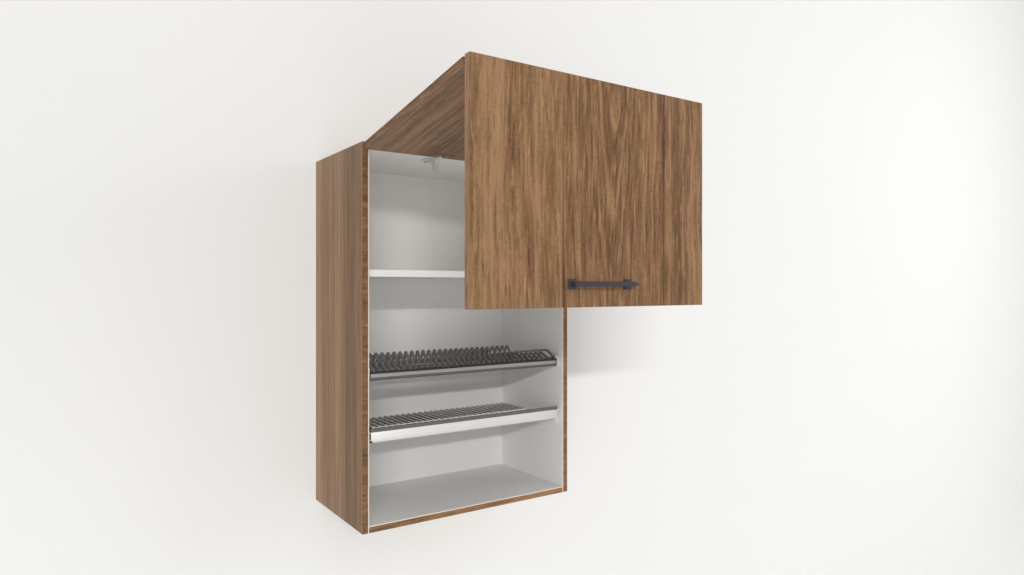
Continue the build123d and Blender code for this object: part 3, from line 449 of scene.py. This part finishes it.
# Brown lacquer, sprayed and stoved: a soft sheen over a faint flow of the coat.
brown_lacquer = clouded("brown_stoved_lacquer", speck=1.4, shades=("#7a6149", "#856b52"),
                        roughness=(0.32, 0.42), relief=0.15)
housing_edge = 0.0005
arm_edge = 0.0005
cup_edge = 0.0003
for hand in ("left", "right"):
    eased("top_hinge_bracket_" + hand, "carcass", housing_edge, grey_plastic)
    eased("top_hinge_cup_" + hand, "upper_leaf_body", cup_edge, brown_lacquer)
    eased("fold_hinge_arm_" + hand, "upper_leaf_body", arm_edge, brown_lacquer)
    eased("fold_hinge_cup_" + hand, "lower_leaf_body", cup_edge, brown_lacquer)

# Handle: a die-cast bar on two short legs with square rosettes, screwed on from inside the leaf.
# Slate powder coat over soft cast edges: dull and almost black, with an orange peel of 0.7 mm.
slate = clouded("slate_powder_coat", speck=0.7, shades=("#2d2930", "#37323a"), roughness=(0.42, 0.52),
                relief=0.2)
cast_edge = 0.0008
for name in ("handle_bar", "handle_leg_left", "handle_leg_right"):
    eased(name, "lower_leaf_body", cast_edge, slate)

# Door bumpers: small discs that quieten the shut door, stuck on the leaf's inside.
# Clear soft plastic, cast in drops: pale grey over the wood, glossy and a little cloudy.
bumper_gel = clouded("clear_soft_bumper", speck=3.3, shades=("#cfcecb", "#dcdbd8"), roughness=0.25)
drop_edge = 0.0009
eased("door_bumpers", "lower_leaf_body", drop_edge, bumper_gel)


# Screws: cross-recess pan heads, cold headed and rolled, that hold hinges, handle and rack brackets.
# One blank is set at each place by geometry nodes, each head stopped at its own turn.
def pan_head(head_radius, head, shank_radius, length):
    """A screw standing on its head's seat, its cross recess cut in from above."""
    # from the point up the shank, out to the rim of the seat and over the round of the head
    profile = [(shank_radius * 0.4, -length), (shank_radius, -length * 0.86), (shank_radius, 0.0),
               (head_radius, 0.0), (head_radius, head * 0.35), (head_radius * 0.93, head * 0.72),
               (head_radius * 0.72, head * 0.93)]
    around = 28
    shape = bmesh.new()
    rings = [[shape.verts.new((r * cos(2 * pi * k / around), r * sin(2 * pi * k / around), z))
              for k in range(around)] for r, z in profile]
    crown = shape.verts.new((0, 0, head))
    for k in range(around):
        after = (k + 1) % around
        for low, high in zip(rings, rings[1:]):
            shape.faces.new((low[k], low[after], high[after], high[k]))
        shape.faces.new((rings[-1][k], rings[-1][after], crown))
    shape.faces.new(list(reversed(rings[0])))
    bmesh.ops.recalc_face_normals(shape, faces=shape.faces)
    blank_mesh = bpy.data.meshes.new("screw_blank")
    shape.to_mesh(blank_mesh)
    shape.clear()
    # The cutter is two crossed wedges, long and narrow above the head and smaller inside it.
    above = (head * 1.3, head_radius * 0.60, head_radius * 0.13)
    within = (head * 0.30, head_radius * 0.22, head_radius * 0.08)
    for crossed in (False, True):
        high, low = [[shape.verts.new((y, x, z) if crossed else (x, y, z)) for x, y in
                      ((-reach, -half), (reach, -half), (reach, half), (-reach, half))]
                     for z, reach, half in (above, within)]
        shape.faces.new(low)
        shape.faces.new(high)
        for k in range(4):
            shape.faces.new((low[k], low[(k + 1) % 4], high[(k + 1) % 4], high[k]))
    bmesh.ops.recalc_face_normals(shape, faces=shape.faces)
    cross_mesh = bpy.data.meshes.new("cross_cutter")
    shape.to_mesh(cross_mesh)
    shape.free()
    blank = bpy.data.objects.new("screw_blank", blank_mesh)
    cross = bpy.data.objects.new("cross_cutter", cross_mesh)
    for made in (blank, cross):
        bpy.context.scene.collection.objects.link(made)
    cut = blank.modifiers.new("recess", "BOOLEAN")
    cut.object = cross
    cut.operation = "DIFFERENCE"
    cut.solver = "EXACT"
    cut.use_self = True
    screw = finished(blank, "pan_head_screw")
    bpy.data.objects.remove(cross)
    return screw


setting = bpy.data.node_groups.new("screws_at_places", "GeometryNodeTree")
setting_inputs = {}
for label, kind in (("Places", "NodeSocketGeometry"), ("Screw", "NodeSocketObject"),
                    ("Seed", "NodeSocketInt"), ("Finish", "NodeSocketMaterial")):
    socket = setting.interface.new_socket(name=label, in_out="INPUT", socket_type=kind)
    setting_inputs[label] = socket.identifier
setting.interface.new_socket(name="Screws", in_out="OUTPUT", socket_type="NodeSocketGeometry")
given = add(setting, "NodeGroupInput").outputs
head_way = add(setting, "GeometryNodeInputNamedAttribute", {"Name": "screw_axis"},
               data_type="FLOAT_VECTOR").outputs[0]
upright = add(setting, "FunctionNodeAlignRotationToVector", {"Vector": head_way}, axis="Z")
turn = add(setting, "FunctionNodeRandomValue", {"Min": 0.0, "Max": pi / 2, "Seed": given["Seed"]},
           data_type="FLOAT").outputs[1]
roll = add(setting, "FunctionNodeAxisAngleToRotation", {"Axis": (0.0, 0.0, 1.0), "Angle": turn})
stopped = add(setting, "FunctionNodeRotateRotation", (upright, roll), rotation_space="LOCAL")
one = add(setting, "GeometryNodeObjectInfo", {"Object": given["Screw"]}).outputs["Geometry"]
set_in = add(setting, "GeometryNodeInstanceOnPoints", {"Points": given["Places"], "Instance": one,
                                                       "Rotation": stopped})
set_in = add(setting, "GeometryNodeRealizeInstances", (set_in,))
set_in = add(setting, "GeometryNodeSetMaterial", {"Geometry": set_in, "Material": given["Finish"]})
add(setting, "NodeGroupOutput", (set_in,))


def set_screws(node, body, axis, size, finish, seed, both_ways=False):
    """Replace a CAD node of screws by turned ones at the same seats, their heads along the axis.

    both_ways turns those on the right-hand side of the cabinet round."""
    cad = bmesh.new()
    cad.from_mesh(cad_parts[node].data)
    bmesh.ops.remove_doubles(cad, verts=cad.verts, dist=same_place)
    # Points within 0.02 mm of each other along the axis are level.
    level = 2e-5
    # The points wait in the mesh's own order, which a dict keeps, so each run turns each head alike.
    waiting, seats, ways = dict.fromkeys(cad.verts), [], []
    while waiting:
        group, found = [], [waiting.popitem()[0]]
        while found:
            vert = found.pop()
            group.append(vert)
            for edge in vert.link_edges:
                other = edge.other_vert(vert)
                if other in waiting:
                    del waiting[other]
                    found.append(other)
        middle = sum((vert.co for vert in group), Vector()) / len(group)
        way = Vector(axis).normalized()
        if both_ways and middle.x > 0:
            way = -way
        reaches = [vert.co.dot(way) for vert in group]
        foot = [vert.co for vert in group if vert.co.dot(way) < min(reaches) + level]
        crown = [vert.co for vert in group if vert.co.dot(way) > max(reaches) - level]
        foot = sum(foot, Vector()) / len(foot)
        crown = sum(crown, Vector()) / len(crown)
        seats.append(foot + way * (crown - foot).dot(way) - way * size["head"])
        ways.append(way)
    cad.free()
    mesh = bpy.data.meshes.new("screw_places")
    mesh.from_pydata([tuple(seat) for seat in seats], [], [])
    layer = mesh.attributes.new("screw_axis", "FLOAT_VECTOR", "POINT")
    for entry, way in zip(layer.data, ways):
        entry.vector = way
    screw = pan_head(**size)
    source = bpy.data.objects.new("screw_places", mesh)
    bpy.context.scene.collection.objects.link(source)
    setter = source.modifiers.new("set", "NODES")
    setter.node_group = setting
    for label, value in (("Screw", screw), ("Seed", seed), ("Finish", finish)):
        setter[setting_inputs[label]] = value
    piece = finished(source, "turned_" + node)
    bpy.data.objects.remove(screw)
    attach(piece, body)
    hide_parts(node)


# White lacquer over the heads under the top panel: a soft gloss, a little uneven.
white_head = clouded("white_lacquered_screw", speck=1.25, shades=("#dfdedc", "#e6e5e3"),
                     roughness=(0.30, 0.40))
hinge_screw = {"head_radius": 0.0032, "head": 0.0016, "shank_radius": 0.00175, "length": 0.011}
handle_screw = {"head_radius": 0.0040, "head": 0.0022, "shank_radius": 0.0020, "length": 0.027}
rack_screw = {"head_radius": 0.0038, "head": 0.0022, "shank_radius": 0.0020, "length": 0.0155}
under_leaf = (0.0, -sin(leaf_tilt), -cos(leaf_tilt))
set_screws("top_bracket_screws", "carcass", (0, 0, -1), hinge_screw, white_head, 3)
set_screws("top_cup_screws", "upper_leaf_body", under_leaf, hinge_screw, brown_lacquer, 5)
set_screws("fold_arm_screws", "upper_leaf_body", under_leaf, hinge_screw, brown_lacquer, 7)
set_screws("fold_cup_screws", "lower_leaf_body", (0, 1, 0), hinge_screw, brown_lacquer, 11)
set_screws("handle_screws", "lower_leaf_body", (0, 1, 0), handle_screw, zinc, 13)
set_screws("rack_screws", "carcass", (1, 0, 0), rack_screw, zinc, 17, both_ways=True)

# Rack end brackets: four mouldings screwed to the sides, with open saddles that the rods drop into.
# White polyamide from the same kind of mould as the hinge housings: dull, even and a little whiter.
white_plastic = clouded("white_moulded_polyamide", speck=moulded_grain, shades=("#e2e1df", "#e9e8e6"),
                        roughness=0.38, relief=0.15)
moulded_edge = 0.0004
for rack in ("plate", "cup"):
    for hand in ("left", "right"):
        eased(f"{rack}_rack_end_{hand}", "carcass", moulded_edge, white_plastic)

# Plate rack rail: an extruded aluminium bead along the front, with a step along its foot painted dark
# as shade, and a moulded strip pressed in behind it, black as painted shadow. The end brackets hold both.
extruded_edge = 0.0004
painted_shade_top = -0.4885
# Aluminium, brushed and anodised: a satin grey shine drawn out along the rail. The real scratches are
# 0.05 mm wide, and are drawn 0.4 mm wide.
scratch_width, scratch_length = 0.4, 170.0
# Below the step's top the rail is painted dark grey, as painted shade.
satin = clouded("satin_anodised_aluminium", speck=scratch_width, shades=("#989694", "#a8a6a4"),
                roughness=(0.30, 0.44), metallic=1.0, detail=3.0, streak=scratch_length,
                foot=(painted_shade_top, "#6c6a68"))
eased("plate_rack_front_rail", "carcass", extruded_edge, satin)

# Black plastic, moulded: deep and dull, with hardly any gloss. The real grain is 0.2 mm.
strip_grain = 1.4
# Its near-black also stands in for the shadow in the gap between the rail and the wires: painted shadow.
black_strip_as_shadow = clouded("black_moulded_strip_as_painted_shadow", speck=strip_grain, shades=("#1b1b1c", "#232324"),
                      roughness=0.55)
eased("plate_rack_strip", "carcass", extruded_edge, black_strip_as_shadow)


# Plate rack grid: drawn steel wires in grey satin plating, 16 mm apart, spot welded on two rods.
# Each wire rises from the rail over a low crown to a tall one, drops to the floor and runs to the back.
def spot(behind, above):
    """A place in the cabinet, given behind its front and above its underside, in millimetres."""
    return (0.0, -0.320 + behind / 1000, -0.844 + above / 1000)


bending = bpy.data.node_groups.new("row_of_bent_wires", "GeometryNodeTree")
bending_inputs = {}
for label, kind in (("Route", "NodeSocketGeometry"), ("Wire radius", "NodeSocketFloat"),
                    ("Bend radius", "NodeSocketFloat"), ("First wire", "NodeSocketFloat"),
                    ("Pitch", "NodeSocketFloat"), ("Wires", "NodeSocketInt"),
                    ("Finish", "NodeSocketMaterial")):
    socket = bending.interface.new_socket(name=label, in_out="INPUT", socket_type=kind)
    bending_inputs[label] = socket.identifier
bending.interface.new_socket(name="Wires", in_out="OUTPUT", socket_type="NodeSocketGeometry")
given = add(bending, "NodeGroupInput").outputs
route = add(bending, "GeometryNodeMeshToCurve", {"Mesh": given["Route"]})
route = add(bending, "GeometryNodeFilletCurve", {"Curve": route, "Count": 6, "Radius": given["Bend radius"],
                                                 "Limit Radius": True}, mode="POLY")
section = add(bending, "GeometryNodeCurvePrimitiveCircle", {"Resolution": 12, "Radius": given["Wire radius"]},
              mode="RADIUS").outputs["Curve"]
wire = add(bending, "GeometryNodeCurveToMesh", {"Curve": route, "Profile Curve": section, "Fill Caps": True})
wire = add(bending, "GeometryNodeSetShadeSmooth", {"Geometry": wire})
first_at = add(bending, "ShaderNodeCombineXYZ", (given["First wire"],))
next_by = add(bending, "ShaderNodeCombineXYZ", (given["Pitch"],))
places = add(bending, "GeometryNodeMeshLine", {"Count": given["Wires"], "Start Location": first_at,
                                               "Offset": next_by}, mode="OFFSET")
wires = add(bending, "GeometryNodeInstanceOnPoints", {"Points": places, "Instance": wire})
wires = add(bending, "GeometryNodeRealizeInstances", (wires,))
wires = add(bending, "GeometryNodeSetMaterial", {"Geometry": wires, "Material": given["Finish"]})
add(bending, "NodeGroupOutput", (wires,))

wire_radius = 0.0030
wire_pitch = 0.016


def bend_wires(name, node, body, route, bend, first, count, finish):
    """A row of like wires, bent in front-to-back planes, in place of its CAD node."""
    mesh = bpy.data.meshes.new(name)
    mesh.from_pydata(route, [(i, i + 1) for i in range(len(route) - 1)], [])
    source = bpy.data.objects.new("wire_route", mesh)
    bpy.context.scene.collection.objects.link(source)
    bender = source.modifiers.new("bend", "NODES")
    bender.node_group = bending
    for label, value in (("Wire radius", wire_radius), ("Bend radius", bend), ("First wire", first),
                         ("Pitch", wire_pitch), ("Wires", count), ("Finish", finish)):
        bender[bending_inputs[label]] = value
    piece = finished(source, name)
    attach(piece, body)
    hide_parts(node)


# Satin plating over drawn wire: dull grey and a little cloudy, with a weak shine. The real clouds are
# below 1 mm.
drawn_cloud = 4.2
plating = clouded("grey_satin_plated_wire", speck=drawn_cloud, shades=("#646361", "#72716f"),
                  roughness=(0.28, 0.40), detail=3.0)
wire_floor = 360.05
wire_end = 256.0
hump_at = 168.0
on_rail = spot(15.5, 371.6)
tall_route = [on_rail, spot(31.0, 377.46), spot(42.0, 392.0), spot(52.0, 377.0), spot(76.0, 411.0),
              spot(95.0, wire_floor), spot(150.0, wire_floor), spot(hump_at, 397.0),
              spot(186.0, wire_floor), spot(wire_end, wire_floor)]
low_route = [on_rail, spot(53.53, 385.96), spot(66.0, wire_floor), spot(155.0, wire_floor),
             spot(hump_at, 382.0), spot(181.0, wire_floor), spot(wire_end, wire_floor)]
leftmost_wire = -0.267
bend_wires("bent_tall_loops", "plate_rack_tall_loops", "plate_grid", tall_route, bend=0.0055,
           first=leftmost_wire, count=27, finish=plating)
bend_wires("bent_low_loops", "plate_rack_low_loops", "plate_grid", low_route, bend=0.007,
           first=0.165, count=6, finish=plating)
for name in ("plate_rack_low_frame", "plate_rack_rods"):
    dress(name, plating)

# Cup rack: an extruded fascia along the front, held by the end brackets, with a moulded strip on it.
# Brushed aluminium: bright and satin, with the same scratches along it as the rail.
bright = clouded("brushed_aluminium_fascia", speck=scratch_width, shades=("#e2e0dd", "#eceae7"),
                 roughness=(0.44, 0.56), metallic=1.0, detail=3.0, streak=scratch_length)
eased("cup_rack_fascia", "carcass", extruded_edge, bright)
# Grey plastic, moulded: dull, a shade darker than the wires behind it, with the same grain.
strip_plastic = clouded("grey_moulded_strip", speck=strip_grain, shades=("#5d5a57", "#686562"),
                        roughness=0.45)
dress("cup_rack_strip", strip_plastic)

# Cup rack grid: steel wires welded on rods like the plate rack's. The front part stands high and drops
# to a low floor behind; a few low wires run beside it.
# Bright drawn steel: each wire mirrors the pale room above and the dark below, so it looks striped.
drawn_steel = clouded("bright_drawn_steel_wire", speck=drawn_cloud, shades=("#d6d4d1", "#e2e0dd"),
                      roughness=(0.12, 0.20), metallic=1.0, detail=3.0)
cup_floor = 211.05
cup_top = 239.2
cup_route = [spot(14.55, cup_top), spot(130.0, cup_top), spot(138.0, cup_floor), spot(wire_end, cup_floor)]
bend_wires("bent_cup_wires", "cup_rack_wires", "cup_grid", cup_route, bend=0.006,
           first=leftmost_wire, count=28, finish=drawn_steel)
straight_route = [spot(28.0, cup_floor), spot(wire_end, cup_floor)]
bend_wires("straight_cup_wires", "cup_rack_low_wires", "cup_grid", straight_route, bend=0.001,
           first=0.181, count=6, finish=drawn_steel)
# Bright plating over the rods: a paler and softer shine than on the wires.
bright_rod = clouded("bright_plated_rod", speck=drawn_cloud, shades=("#cfcfce", "#dcdcdb"),
                     roughness=(0.30, 0.40), metallic=1.0, detail=3.0)
dress("cup_rack_rods", bright_rod)

# Drip tray: a shallow tray that lies on the ledges of the cup rack's end brackets.
# Frosted polypropylene, moulded and tinted dark: a soft dull sheen with faint flow marks 2 mm wide.
# Its near-black tone is also painted shade, for the dark gaps seen between the cup wires.
dark_tray_and_painted_shade = clouded("frosted_grey_polypropylene_and_painted_shade", speck=2.0, shades=("#2c2e2f", "#343637"),
                       roughness=0.5)
tray_edge = 0.0003
eased("drip_tray", "carcass", tray_edge, dark_tray_and_painted_shade)
